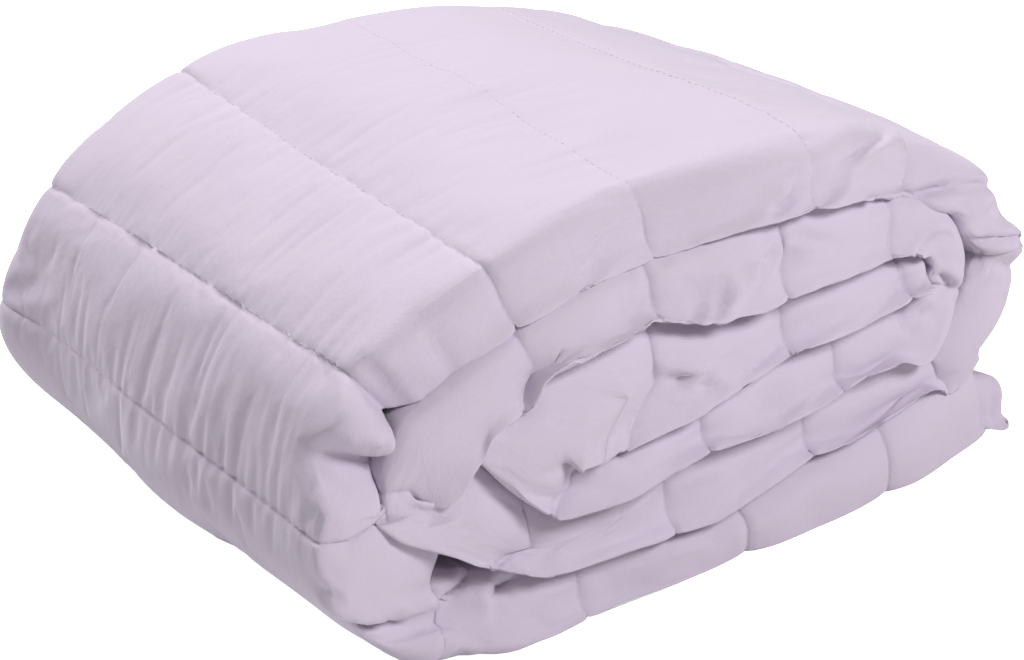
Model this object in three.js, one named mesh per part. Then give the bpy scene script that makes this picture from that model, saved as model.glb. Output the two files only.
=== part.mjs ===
// Summer duvet with sewn channels, folded into a long padded strip and wound into a flat roll.
// Millimetres, +Z up. The roll's axis lies along Y with its near end at -Y, and the origin is
// in the middle of the box round it, on the floor that it rests on.
import * as THREE from 'three';
import { mergeVertices } from 'three/addons/utils/BufferGeometryUtils.js';

// Driving sizes
const stripWidth = 275; // across the folded strip, which is the length of the roll
const crestDepth = 15; // how far the rounding of a folded edge reaches into the strip
const crestLobe = 5; // how far a channel's edge stands out past its seams
const crestSquare = 0.72; // 1 is a round folded edge, less is a fuller, squarer one
const puffPower = 0.7; // below 1 a channel is full near its seams, above 1 it is pointed
const bendRoom = 0.8; // the inner half thickness is at most this share of the bend's radius
const bendProbe = 0.004; // share of the middle line used either way to measure a bend
const softening = 0.0025; // share of the middle line between the places averaged in a bend
const floorSink = 0.8; // how far the lowest channels are pressed flat against the floor
const backTaper = 0.05; // the roll is this share lower at its back than at its near end

// Fineness of the mesh
const stepsPerChannel = 6;
const stepsPerCrest = 8;
const stepsPerFace = 5;

const lilac = 0xcbbdd6;

// One row for each seam, from the loose hem round the roll to the hem in its core; a row that
// isn't sewn is a plain bend. x, z: where the middle of the strip passes. thick: its thickness
// there. near, back: how far its folded edges stand out past the nominal width. skew: how much
// further out its back end lies than its near end. Then, for the channel that follows the row,
// bow: how far it bends outwards; puff: its full thickness.
const seams = [
  { x: 201, z: 9, thick: 12, near: -4, back: -6, skew: 0, bow: 0, puff: 16, sewn: true },
  { x: 190, z: 11, thick: 15, near: -6, back: -8, skew: 0, bow: 0, puff: 23, sewn: true },
  { x: 128, z: 11, thick: 19, near: 0, back: -4, skew: 0, bow: 0, puff: 23, sewn: true },
  { x: 51, z: 11, thick: 19, near: 2, back: -2, skew: 0, bow: 0, puff: 23, sewn: true },
  { x: -25, z: 11, thick: 19, near: 1, back: -5, skew: 0, bow: 2, puff: 24, sewn: true },
  { x: -88, z: 17, thick: 19, near: -6, back: -8, skew: 10, bow: 9, puff: 24, sewn: true },
  { x: -127, z: 62, thick: 17, near: -3, back: -10, skew: 6, bow: 3, puff: 22, sewn: true },
  { x: -111, z: 109, thick: 13, near: -6, back: -9, skew: 2, bow: 3, puff: 24, sewn: true },
  { x: -52, z: 139, thick: 19, near: -2, back: -9, skew: -8, bow: 3, puff: 24, sewn: true },
  { x: 14, z: 149, thick: 20, near: -10, back: -16, skew: -4, bow: 2, puff: 24, sewn: true },
  { x: 86, z: 150, thick: 21, near: -2, back: -14, skew: 0, bow: 2, puff: 25, sewn: true },
  { x: 150, z: 135, thick: 19, near: -18, back: -9, skew: 0, bow: 13, puff: 24, sewn: true },
  { x: 189, z: 87, thick: 18, near: -9, back: -8, skew: 0, bow: 9, puff: 24, sewn: true },
  { x: 165, z: 39, thick: 16, near: -2, back: -6, skew: 0, bow: 2, puff: 22, sewn: true },
  { x: 88, z: 36, thick: 19, near: 2, back: -3, skew: 0, bow: 0, puff: 23, sewn: true },
  { x: 17, z: 35, thick: 19, near: 2, back: -2, skew: 0, bow: 0, puff: 23, sewn: true },
  { x: -46, z: 37, thick: 21, near: 0, back: -4, skew: 0, bow: 4, puff: 31, sewn: true },
  { x: -98, z: 80, thick: 11, near: -4, back: -6, skew: 0, bow: 3, puff: 32, sewn: true },
  { x: -44, z: 112, thick: 21, near: -2, back: -5, skew: 0, bow: 2, puff: 28, sewn: true },
  { x: 10, z: 122, thick: 22, near: -4, back: -3, skew: 0, bow: 0, puff: 28, sewn: true },
  { x: 70, z: 122, thick: 22, near: -2, back: -2, skew: 0, bow: 0, puff: 28, sewn: true },
  { x: 134, z: 115, thick: 18, near: -8, back: -5, skew: 0, bow: 11, puff: 23, sewn: true },
  { x: 167, z: 79, thick: 15, near: -6, back: -7, skew: 0, bow: 11, puff: 21, sewn: true },
  { x: 101, z: 61, thick: 19, near: 0, back: -4, skew: 0, bow: 0, puff: 23, sewn: true },
  { x: 31, z: 61, thick: 19, near: 2, back: -2, skew: 0, bow: 0, puff: 23, sewn: true },
  { x: -30, z: 60, thick: 16, near: 2, back: -5, skew: 0, bow: 4, puff: 23, sewn: true },
  { x: -46, z: 74, thick: 23, near: 3, back: -5, skew: 0, bow: 4, puff: 23, sewn: false },
  { x: -31, z: 87, thick: 23, near: 3, back: -5, skew: 0, bow: 1, puff: 27, sewn: false },
  { x: 9, z: 87, thick: 22, near: 0, back: -6, skew: 0, bow: 0, puff: 28, sewn: true },
  { x: 74, z: 89, thick: 22, near: -2, back: -4, skew: 0, bow: 0, puff: 28, sewn: true },
  { x: 136, z: 89, thick: 15, near: -6, back: -6, skew: 0, bow: 0, puff: 15, sewn: true },
  { x: 145, z: 89, thick: 10, near: -7, back: -7, skew: 0, bow: 0, puff: 12, sewn: true },
];
const channelCount = seams.length - 1;
const stationCount = channelCount * stepsPerChannel;

// Middle line of the strip: through every seam, and through the bowed middle of every channel
function makeMiddleLine() {
  const points = [];
  for (let i = 0; i < channelCount; i += 1) {
    const from = new THREE.Vector3(seams[i].x, 0, seams[i].z);
    const to = new THREE.Vector3(seams[i + 1].x, 0, seams[i + 1].z);
    const along = to.clone().sub(from).normalize();
    const outward = new THREE.Vector3(-along.z, 0, along.x);
    const middle = from.clone().add(to).multiplyScalar(0.5).addScaledVector(outward, seams[i].bow);
    points.push(from, middle);
  }
  const last = seams[channelCount];
  points.push(new THREE.Vector3(last.x, 0, last.z));
  return new THREE.CatmullRomCurve3(points, false, 'centripetal');
}
const middleLine = makeMiddleLine();

// A place on the middle line, averaged with its neighbours so that no bend has a sharp corner
function middleAt(param) {
  const place = new THREE.Vector3();
  for (let k = -2; k <= 2; k += 1) {
    const share = (3 - Math.abs(k)) / 9;
    const neighbour = THREE.MathUtils.clamp(param + k * softening, 0, 1);
    place.addScaledVector(middleLine.getPoint(neighbour), share);
  }
  return place;
}

// Outward direction at a place on the middle line: away from the roll's core
function outwardAt(param) {
  const along = middleAt(param + softening).sub(middleAt(param - softening)).normalize();
  return new THREE.Vector3(-along.z, 0, along.x);
}

// Radius of the bend round the core at a place on the middle line, endless where it is straight
function bendRadius(param) {
  const before = middleAt(param - bendProbe);
  const after = middleAt(param + bendProbe);
  const reach = 0.5 * before.distanceTo(after);
  const chord = before.add(after).multiplyScalar(0.5);
  const height = middleAt(param).sub(chord).dot(outwardAt(param));
  return height > 0 ? (reach * reach) / (2 * height) : Infinity;
}

// Room that a bend leaves for the inner half of the thickness, taken from its tightest spot nearby
function innerRoom(param) {
  const nearby = [-2, -1, 0, 1, 2].map((k) => bendRadius(param + k * bendProbe));
  return bendRoom * Math.min(...nearby);
}

// Everything about the strip at one station
function stationAt(step) {
  const channel = Math.min(Math.floor(step / stepsPerChannel), channelCount - 1);
  const share = step / stepsPerChannel - channel;
  const param = step / stationCount;
  const middle = middleAt(param);
  const start = seams[channel].sewn ? 0 : 0.5;
  const end = seams[channel + 1].sewn ? 1 : 0.5;
  const swell = Math.sin(Math.PI * THREE.MathUtils.lerp(start, end, share)) ** puffPower;
  const pinched = THREE.MathUtils.lerp(seams[channel].thick, seams[channel + 1].thick, share);
  const half = 0.5 * (pinched + (seams[channel].puff - pinched) * swell);
  const ease = THREE.MathUtils.smoothstep(share, 0, 1);
  const near = THREE.MathUtils.lerp(seams[channel].near, seams[channel + 1].near, ease);
  const back = THREE.MathUtils.lerp(seams[channel].back, seams[channel + 1].back, ease);
  const skew = THREE.MathUtils.lerp(seams[channel].skew, seams[channel + 1].skew, ease);
  return {
    middle,
    skew,
    outward: outwardAt(param),
    outerHalf: half,
    innerHalf: Math.min(half, innerRoom(param)),
    nearEdge: -(stripWidth / 2 + near + crestLobe * swell),
    backEdge: stripWidth / 2 + back + crestLobe * swell,
  };
}

// One turn round the strip's section: side runs from -1, the inner face, to 1, the outer face,
// and edge from 0 at a crest to 1 where the rounding ends
const square = (value) => Math.sign(value) * Math.abs(value) ** crestSquare;
const loop = [];
for (let i = 0; i < stepsPerCrest; i += 1) {
  const angle = Math.PI * (i / stepsPerCrest - 0.5);
  loop.push({ end: 'near', side: square(Math.sin(angle)), edge: 1 - square(Math.cos(angle)), across: 0 });
}
for (let i = 0; i < stepsPerFace; i += 1) {
  loop.push({ end: 'face', side: 1, edge: 1, across: i / stepsPerFace });
}
for (let i = 0; i < stepsPerCrest; i += 1) {
  const angle = Math.PI * (0.5 - i / stepsPerCrest);
  loop.push({ end: 'back', side: square(Math.sin(angle)), edge: 1 - square(Math.cos(angle)), across: 1 });
}
for (let i = 0; i < stepsPerFace; i += 1) {
  loop.push({ end: 'face', side: -1, edge: 1, across: 1 - i / stepsPerFace });
}

// Height of a point once the roll has sunk on the floor and slopes down to its back end
function loweredTo(place) {
  return (place.z - floorSink) * (1 - backTaper * (place.y / stripWidth + 0.5));
}

// Where a point of the section loop lies at a station
function placePoint(station, spot) {
  const nearFace = station.nearEdge + crestDepth;
  const backFace = station.backEdge - crestDepth;
  let y = THREE.MathUtils.lerp(nearFace, backFace, spot.across);
  if (spot.end === 'near') {
    y = station.nearEdge + crestDepth * spot.edge;
  }
  if (spot.end === 'back') {
    y = station.backEdge - crestDepth * spot.edge;
  }
  const place = station.middle.clone();
  const half = spot.side > 0 ? station.outerHalf : station.innerHalf;
  const offset = half * spot.side + station.skew * (y / stripWidth);
  place.addScaledVector(station.outward, offset);
  place.y = y;
  place.z = Math.max(loweredTo(place), 0);
  return place;
}

// The duvet is a closed cylinder bent to shape: its height becomes the way round the roll,
// its circle the section loop, and its two lids the hems
function makeDuvet() {
  const shape = new THREE.CylinderGeometry(1, 1, 1, loop.length, stationCount, false);
  const position = shape.attributes.position;
  for (let i = 0; i < position.count; i += 1) {
    const station = stationAt(Math.round((0.5 - position.getY(i)) * stationCount));
    const radius = Math.hypot(position.getX(i), position.getZ(i));
    let place = station.middle.clone();
    if (radius > 0.5) {
      const turn = Math.atan2(position.getX(i), position.getZ(i)) / (2 * Math.PI);
      const spot = Math.round((turn + 1) * loop.length) % loop.length;
      place = placePoint(station, loop[spot]);
    } else {
      place.y = 0.5 * (station.nearEdge + station.backEdge);
      place.z = loweredTo(place);
    }
    position.setXYZ(i, place.x, place.y, place.z);
  }
  shape.deleteAttribute('normal');
  shape.deleteAttribute('uv');
  const solid = mergeVertices(shape, 1e-3);
  solid.computeBoundingBox();
  const centre = solid.boundingBox.getCenter(new THREE.Vector3());
  solid.translate(-centre.x, -centre.y, 0);
  solid.computeVertexNormals();
  return solid;
}

const cotton = new THREE.MeshStandardMaterial({ color: lilac, roughness: 0.9, metalness: 0 });
const duvet = new THREE.Mesh(makeDuvet(), cotton);
duvet.name = 'duvet';

const model = new THREE.Group();
model.add(duvet);

export default model;
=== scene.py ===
import math

import bpy
import numpy as np
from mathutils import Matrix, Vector


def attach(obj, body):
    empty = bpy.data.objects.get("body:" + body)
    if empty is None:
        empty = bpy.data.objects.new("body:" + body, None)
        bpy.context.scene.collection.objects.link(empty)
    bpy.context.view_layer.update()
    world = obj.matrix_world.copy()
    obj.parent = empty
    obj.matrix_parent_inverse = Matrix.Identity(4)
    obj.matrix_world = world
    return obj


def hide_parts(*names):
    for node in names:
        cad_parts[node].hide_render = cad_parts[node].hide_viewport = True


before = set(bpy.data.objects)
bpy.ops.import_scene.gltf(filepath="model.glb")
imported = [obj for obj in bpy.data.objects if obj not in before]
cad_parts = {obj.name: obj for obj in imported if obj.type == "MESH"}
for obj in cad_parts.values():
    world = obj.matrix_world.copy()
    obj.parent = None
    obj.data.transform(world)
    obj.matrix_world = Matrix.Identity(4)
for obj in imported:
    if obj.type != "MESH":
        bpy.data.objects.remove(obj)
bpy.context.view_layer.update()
print("frame loaded")

mm = 0.001

# The folded strip that is wound into the roll. Sizes are in millimetres, shares have no unit.
strip = {
    "width": 275,  # across the strip, which is the length of the roll
    "centre": (31.557, -2.75),  # middle of the roll's box, where the part has its origin
    "depthLow": 13,  # how far the rounding of a folded edge's lower corner reaches in
    "depthHidden": 21,  # the same for an upper corner that lies under the next turn
    "depthBack": 26,  # the most that any corner's rounding reaches in at the back end
    "squareLow": 0.4,  # roundness of a folded edge's lower corner, 1 is round
    "squareHigh": 1.0,  # and of its upper corner
    "crestLobe": 2.5,  # how far a channel's edge stands out past its seams
    "openFrom": 5.0,  # the seams between which the outer face is open to view
    "openTo": 13.0,
    "hang": 12.5,  # how much further out the lower lip of a folded edge stands
    "hangSharpness": 4,  # how soon the edge steps back above that lip
    "floorRow": 2.3,  # middle of the stretch along the floor, which has no such lip
    "floorReach": 0.48,  # rows without a lip on either side of it
    "floorRamp": 1.2,  # rows over which the lip comes back
    "puffPower": 0.62,  # below 1 a channel is full close up to its seams
    "fuller": 1.6,  # added to every thickness, so that the turns press on each other
    "flareReach": 14,  # how far the flare runs in from a folded edge before it fades
    "flareFade": 26,  # and over what length it fades
    "bendRoom": 0.85,  # share of a bend's radius that the inner half may fill
    "bendProbe": 0.004,  # share of the middle line over which a bend is measured
    "softening": 0.0025,  # share of it over which its corners are rounded
    "ownReach": 3,  # what is met closer than this is the strip itself
    "nextRoom": 100,  # with more room than this there is no next turn
    "floorSink": 0.8,  # how far the roll is let into the floor, which presses it flat
    "backTaper": 0.05,  # share by which the back end is lower
    "warp": 2.2,  # uneven lie of the whole roll
    "warpLength": 85,
    "warpHeight": 40,  # from where up it is in full
}
floorContact = 1.5  # cloth lower than this touches the floor
unlimited = 1e6  # stands for room without end
tiny = 1e-9  # keeps divisions from failing

# How finely the mesh is cut. steps: along the strip, from each seam to the next
fineness = {
    "steps": [16, 24, 24, 24, 30, 42, 40, 26, 22, 26, 34, 34, 28] + [26] * 16 + [22, 10],
    "besideSeam": (0.55, 1.3),  # distance from a seam of the steps next to it, in millimetres
    "nearCrest": 32,  # steps round the near folded edge
    "backCrest": 14,  # and round the back one
    "outerFace": 150,  # steps across a face that is open to view
    "hiddenFace": 10,
    "probes": 12,  # places in every channel where the next turn is looked for
}

# Seeds of every soft noise
seeds = {"warp": (3, 5, 8), "wideFolds": 21, "fineFolds": 22, "foldPatches": 23, "faces": 31,
         "edges": 41}

# One row for each seam, from the loose hem round the roll to the hem in its core. x, z: where the
# middle of the strip passes. thick: its thickness there. near, back: how far its folded edges stand
# out. skew: how much further out its back end lies. flat: the share of the pinch that the outer face
# doesn't follow. slideNear, slideBack: how far along the strip the seam runs at either end. Then,
# for the channel that follows: bow, how far it bends outwards; puff, its full thickness; flare, how
# much fuller its folded edges get where there is room. sewn: whether there is a seam.
columns = ("x", "z", "thick", "near", "back", "skew", "flat", "slideNear", "slideBack",
           "bow", "puff", "flare", "sewn")
seamRows = [
    (207, 9, 11, -7, -6, 0, 0.0, 0, 0, 0, 16, 3, True),
    (195, 11, 15, -9, -8, 0, 0.0, 0, 0, 0, 23, 5, True),
    (128, 11, 19, -3, -4, 0, 0.0, 0, 0, 0, 23, 5, True),
    (51, 11, 19, -1, -2, 0, 0.0, 0, 0, 0, 23, 5, True),
    (-25, 11, 19, -1, -5, 0, 0.0, 0, 0, 2, 24, 3, True),
    (-88, 17, 19, -6, -8, 14, 0.6, 0, 0, 9, 24, 1, True),
    (-127, 62, 17, -3, -10, 9, 0.8, 9, 7, 3, 22, 1, True),
    (-111, 109, 13, -8, -9, 3, 0.85, 9, 0, 3, 24, 1, True),
    (-52, 139, 19, -3, -9, 5, 0.95, 0, 0, 4, 24, 1, True),
    (14, 149, 20, -10, -25, 4, 1.0, 0, 0, 2, 24, 1, True),
    (86, 150, 21, -2, -26, 0, 1.0, 0, 0, 2, 25, 1, True),
    (150, 135, 19, -18, -16, 0, 0.9, 0, 0, 10, 24, 1, True),
    (189, 87, 18, -9, -8, 0, 0.6, 0, 0, 9, 24, 2, True),
    (165, 39, 16, -5, -6, 0, 0.0, 0, 0, 2, 22, 7, True),
    (88, 36, 19, -1, -3, 0, 0.0, 0, 0, 0, 23, 7, True),
    (17, 35, 19, -1, -2, 0, 0.0, 0, 0, 0, 23, 7, True),
    (-46, 37, 21, -2, -4, 0, 0.0, 0, 0, 4, 31, 16, True),
    (-98, 80, 11, -4, -6, 0, 0.0, 0, 0, 3, 32, 16, True),
    (-44, 112, 21, -2, -5, 0, 0.0, 0, 0, 2, 28, 10, True),
    (10, 122, 22, -4, -3, 0, 0.0, 0, 0, 0, 28, 7, True),
    (70, 122, 22, -2, -2, 0, 0.0, 0, 0, 0, 28, 7, True),
    (134, 115, 18, -8, -5, 0, 0.0, 0, 0, 11, 23, 7, True),
    (167, 79, 15, -6, -7, 0, 0.0, 0, 0, 11, 21, 7, True),
    (101, 61, 19, 0, -4, 0, 0.0, 0, 0, 0, 23, 7, True),
    (31, 61, 19, 2, -2, 0, 0.0, 0, 0, 0, 23, 8, True),
    (-30, 60, 16, 2, -5, 0, 0.0, 0, 0, 4, 23, 12, True),
    (-46, 74, 23, 3, -5, 0, 0.0, 0, 0, 4, 23, 12, False),
    (-31, 87, 23, 3, -5, 0, 0.0, 0, 0, 1, 27, 10, False),
    (9, 87, 22, 0, -6, 0, 0.0, 0, 0, 0, 28, 7, True),
    (74, 89, 22, -2, -4, 0, 0.0, 0, 0, 0, 28, 7, True),
    (141, 90, 15, -6, -6, 0, 0.0, 0, 0, 0, 15, 2, True),
    (153, 91, 8, -9, -7, 0, 0.0, 0, 0, 0, 12, 2, True),
]
seams = {name: np.array([row[k] for row in seamRows], float) for k, name in enumerate(columns)}
channelCount = len(seamRows) - 1
outerStart = 4  # the seam where the open outer turn begins
innerStart = 13  # the seam where the inner turns begin

# How far the near folded edge steps back between the seams: the row, and the millimetres
edgeCuts = np.array([
    (0.6, 0), (1.5, 0), (2.5, 1), (3.3, 1), (4.2, 0), (4.8, 0), (4.92, 1), (5.0, 1.5),
    (5.14, 1), (5.3, 0), (6.2, 0), (6.3, 4), (6.4, 10),
    (6.48, 13), (6.54, 14), (6.6, 11), (6.66, 7), (6.71, 3), (6.76, 1),
    (6.82, 0.5), (6.88, 2), (6.94, 5), (7.0, 8), (7.1, 8),
    (7.2, 6), (7.5, 10), (8, 9), (8.5, 8), (9, 5), (10, 4), (10.5, 2), (11, 0)])

# How far the rounding of the open near edge reaches in on top: the row, and the millimetres
openDepths = np.array([
    (5, 20), (6.5, 21), (7, 22), (8, 21), (9, 23), (10, 29), (10.6, 33), (11.3, 30), (12, 24),
    (13, 20)])

# How far the back end of the outer turn lies further out: the row, and the millimetres
backLifts = np.array([(5, 0), (6, 2), (7, 3), (8, 5.5), (9, 10.5), (10, 1), (10.4, -5.5), (11, -10),
                      (12, -2)])


def fade(share):
    # eases from 0 to 1 with no corner at either end
    share = np.clip(share, 0, 1)
    return share * share * (3 - 2 * share)


def latticeValue(cell, seed):
    # a fixed pseudo-random number from 0 to 1 for each corner of a grid
    mixed = np.sin(cell @ np.array([127.1, 311.7, 74.7]) + seed * 19.19) * 43758.5453
    return mixed - np.floor(mixed)


def softNoise(points, length, seed):
    # smooth noise from -1 to 1 whose hills are about one length wide
    scaled = np.asarray(points, float) / length
    corner = np.floor(scaled)
    blend = fade(scaled - corner)
    total = np.zeros(len(scaled))
    for k in range(8):
        step = np.array([k & 1, (k >> 1) & 1, (k >> 2) & 1])
        weight = np.prod(np.where(step == 1, blend, 1 - blend), axis=1)
        total += weight * latticeValue(corner + step, seed)
    return 2 * total - 1


# Middle line of the strip: a centripetal curve through every seam and every channel's bowed middle
def makeKnots():
    ends = np.stack([seams["x"], seams["z"]], axis=1)
    along = np.diff(ends, axis=0)
    along /= np.linalg.norm(along, axis=1)[:, None]
    outward = np.stack([-along[:, 1], along[:, 0]], axis=1)
    middles = 0.5 * (ends[:-1] + ends[1:]) + outward * seams["bow"][:-1, None]
    knots = np.empty((2 * channelCount + 1, 2))
    knots[0::2] = ends
    knots[1::2] = middles
    return knots


knots = makeKnots()


def curvePoint(param):
    param = np.clip(param, 0, 1)
    last = len(knots) - 1
    place = param * last
    index = np.minimum(np.floor(place).astype(int), last - 1)
    t = place - index
    padded = np.vstack([2 * knots[0] - knots[1], knots, 2 * knots[-1] - knots[-2]])
    p0, p1, p2, p3 = (padded[index + k] for k in range(4))
    gaps = [np.sqrt(np.linalg.norm(b - a, axis=1)) for a, b in ((p0, p1), (p1, p2), (p2, p3))]
    g0, g1, g2 = (np.maximum(g, tiny)[:, None] for g in gaps)
    m1 = ((p1 - p0) / g0 - (p2 - p0) / (g0 + g1) + (p2 - p1) / g1) * g1
    m2 = ((p2 - p1) / g1 - (p3 - p1) / (g1 + g2) + (p3 - p2) / g2) * g1
    t = t[:, None]
    return (2 * t**3 - 3 * t**2 + 1) * p1 + (t**3 - 2 * t**2 + t) * m1 \
        + (3 * t**2 - 2 * t**3) * p2 + (t**3 - t**2) * m2


def middleAt(param):
    # averaged with its neighbours, so that no bend has a sharp corner
    place = np.zeros((len(param), 2))
    for k in range(-2, 3):
        place += curvePoint(param + k * strip["softening"]) * (3 - abs(k)) / 9
    return place


def outwardAt(param):
    along = middleAt(param + strip["softening"]) - middleAt(param - strip["softening"])
    along /= np.maximum(np.linalg.norm(along, axis=1), tiny)[:, None]
    return np.stack([-along[:, 1], along[:, 0]], axis=1)


def innerRoom(param):
    # room that a bend leaves for the inner half of the thickness
    room = np.full(len(param), unlimited)
    for k in range(-2, 3):
        here = param + k * strip["bendProbe"]
        before, after = middleAt(here - strip["bendProbe"]), middleAt(here + strip["bendProbe"])
        reach = 0.5 * np.linalg.norm(after - before, axis=1)
        height = np.sum((middleAt(here) - 0.5 * (before + after)) * outwardAt(here), axis=1)
        radius = np.where(height > 0, reach**2 / (2 * np.maximum(height, tiny)), unlimited)
        room = np.minimum(room, radius)
    return strip["bendRoom"] * room


def channelOf(rows):
    # the channel of each place; places are counted in seams, such as 7.5 between seams 7 and 8
    return np.minimum(np.floor(rows).astype(int), channelCount - 1)


def between(name, rows, weight):
    # a column of the table, blended from the seam before each place to the one after it
    channel = channelOf(rows)
    return seams[name][channel] * (1 - weight) + seams[name][channel + 1] * weight


def halfThickness(rows):
    # half of the strip's thickness on its inner and on its outer face, and the swell of its channel
    channel = channelOf(rows)
    share = rows - channel
    start = np.where(seams["sewn"][channel] > 0, 0, 0.5)
    end = np.where(seams["sewn"][channel + 1] > 0, 1, 0.5)
    swell = np.sin(np.pi * (start + (end - start) * share)).clip(0, 1) ** strip["puffPower"]
    pinched = between("thick", rows, share) + strip["fuller"]
    puff = seams["puff"][channel] + strip["fuller"]
    half = 0.5 * (pinched + (puff - pinched) * swell)
    filled = between("flat", rows, fade(share)) * 0.5 * (puff - pinched) * (1 - swell)
    return half, half + filled, swell


def crossProduct(a, b):
    return a[..., 0] * b[..., 1] - a[..., 1] * b[..., 0]


def roomBeside(rows, direction):
    # how thick the strip may get on one side before it meets the next turn of the roll, which
    # gives way in proportion; direction is 1 for the outer side and -1 for the inner one
    param = rows / channelCount
    start, ray = middleAt(param)[:, None], outwardAt(param)[:, None] * direction
    probeRows = np.linspace(0, channelCount, fineness["probes"] * channelCount + 1)
    line = middleAt(probeRows / channelCount)
    edge, offset = np.diff(line, axis=0)[None], line[:-1][None] - start
    cross = crossProduct(ray, edge)
    cross = np.where(np.abs(cross) < tiny, tiny, cross)
    reach = crossProduct(offset, edge) / cross
    along = crossProduct(offset, ray) / cross
    met = (along >= 0) & (along <= 1) & (reach > strip["ownReach"])
    reach = np.where(met, reach, unlimited)
    nearest = np.argmin(reach, axis=1)
    own, other = halfThickness(rows)[0], halfThickness(probeRows)[0][nearest]
    room = np.min(reach, axis=1) * own / (own + other)
    padded = np.pad(room, 2, mode="edge")
    return np.min([padded[k:k + len(room)] for k in range(5)], axis=0)


# Where turns lie against each other at the near end. side: 1 for the strip's outer face, -1 for
# its inner one. points: the row, and the x and z that the face comes to there.
meetings = [
    {"side": -1, "points": [
        (15.75, -40.5, 52), (16.15, -53.5, 65.5), (16.45, -70.5, 85.5), (16.65, -78, 79.5),
        (16.82, -85, 74.5), (17.0, -91, 73), (17.16, -85, 75.5), (17.3, -78, 80.5),
        (17.5, -70, 87), (17.65, -67.5, 94), (17.85, -60.5, 97), (18.0, -53, 98), (18.2, -45, 103)]},
    {"side": 1, "points": [
        (24.9, -40.5, 51.5), (25.5, -53.5, 65), (26.1, -70.8, 86), (26.45, -68, 94.5),
        (26.8, -60.5, 97), (27.15, -53, 98), (27.6, -45, 103)]},
    {"side": 1, "points": [
        (15.4, -37, 26.6), (15.7, -53.8, 31.1), (16.0, -68.8, 39.7), (16.3, -85.8, 50.7),
        (16.6, -103.8, 64), (16.8, -112, 73)]},
    {"side": -1, "points": [
        (24.55, -9, 69), (24.75, -19.5, 68), (25.1, -33, 72), (26.0, -34, 74), (27.3, -33, 72.5),
        (27.75, -19.5, 68.5), (28.0, -9, 69.5)]},
    {"side": -1, "points": [
        (5.0, -90, 34), (5.22, -82, 45), (5.36, -79, 51), (5.58, -92, 58), (5.8, -103.8, 64),
        (6.1, -112, 72)]},
]
# Level stretches where one turn lies on the next. line: x and z of the contact. faces: the side and
# the first and last row of the strip's faces that come to it.
contacts = [
    {"line": [(-45, 102), (-35, 111.5), (-17, 114.5), (6, 117), (18, 112), (29, 109), (56, 105),
              (76, 106), (106, 105.5), (125, 103.5), (142, 101)],
     "faces": [(-1, 18.3, 21.2), (1, 27.75, 30.9)]},
    {"line": [(-19, 66), (-1, 68.5), (22, 72), (35, 75), (48, 77), (72, 80), (105, 82.5),
              (125, 83.5), (140, 84)],
     "faces": [(-1, 28.15, 30.9), (-1, 22.6, 24.4)]},
    {"line": [(-40, 50), (-11, 50.5), (21, 55.5), (40, 55.5), (67, 53.5), (104, 57.5), (145, 61)],
     "faces": [(1, 22.6, 24.75), (-1, 13.3, 15.6)]},
    {"line": [(-37, 26.6), (-24, 24.5), (10, 22), (37, 22), (50, 24.5), (77, 30.5), (106, 33),
              (139, 37), (165, 41)],
     "faces": [(1, 13.2, 15.3), (-1, 1.2, 4.2)]},
]
meetingRamp = 0.12  # how many rows beyond its points a meeting still pulls
contactRamp = 0.25  # the same for a contact
contactGap = 3.0  # how far a face that looks up stays below the line of its contact
meetingReach = 27  # how far in from the near end both hold, in millimetres, before they fade


def meetingShift(rows, side, face, lookUp):
    # how far each face moves at the near end, so that it comes up to its line; lookUp is above
    # zero where the face looks up
    shift = np.zeros((len(rows), 2))
    for meeting in meetings:
        if meeting["side"] == side:
            row, x, z = np.array(meeting["points"], float).T
            goal = np.stack([np.interp(rows, row, x), np.interp(rows, row, z)], axis=1)
            beyond = np.maximum(row[0] - rows, rows - row[-1])
            shift += (1 - fade(beyond / meetingRamp))[:, None] * (goal - face)
    for contact in contacts:
        lineX, lineZ = np.array(contact["line"], float).T
        for faceSide, first, last in contact["faces"]:
            if faceSide == side:
                rise = np.interp(face[:, 0], lineX, lineZ) - face[:, 1]
                rise -= contactGap * np.where(lookUp > 0, 1, 0)
                beyond = np.maximum(first - rows, rows - last)
                shift[:, 1] += (1 - fade(beyond / contactRamp)) * rise
    return shift


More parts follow.
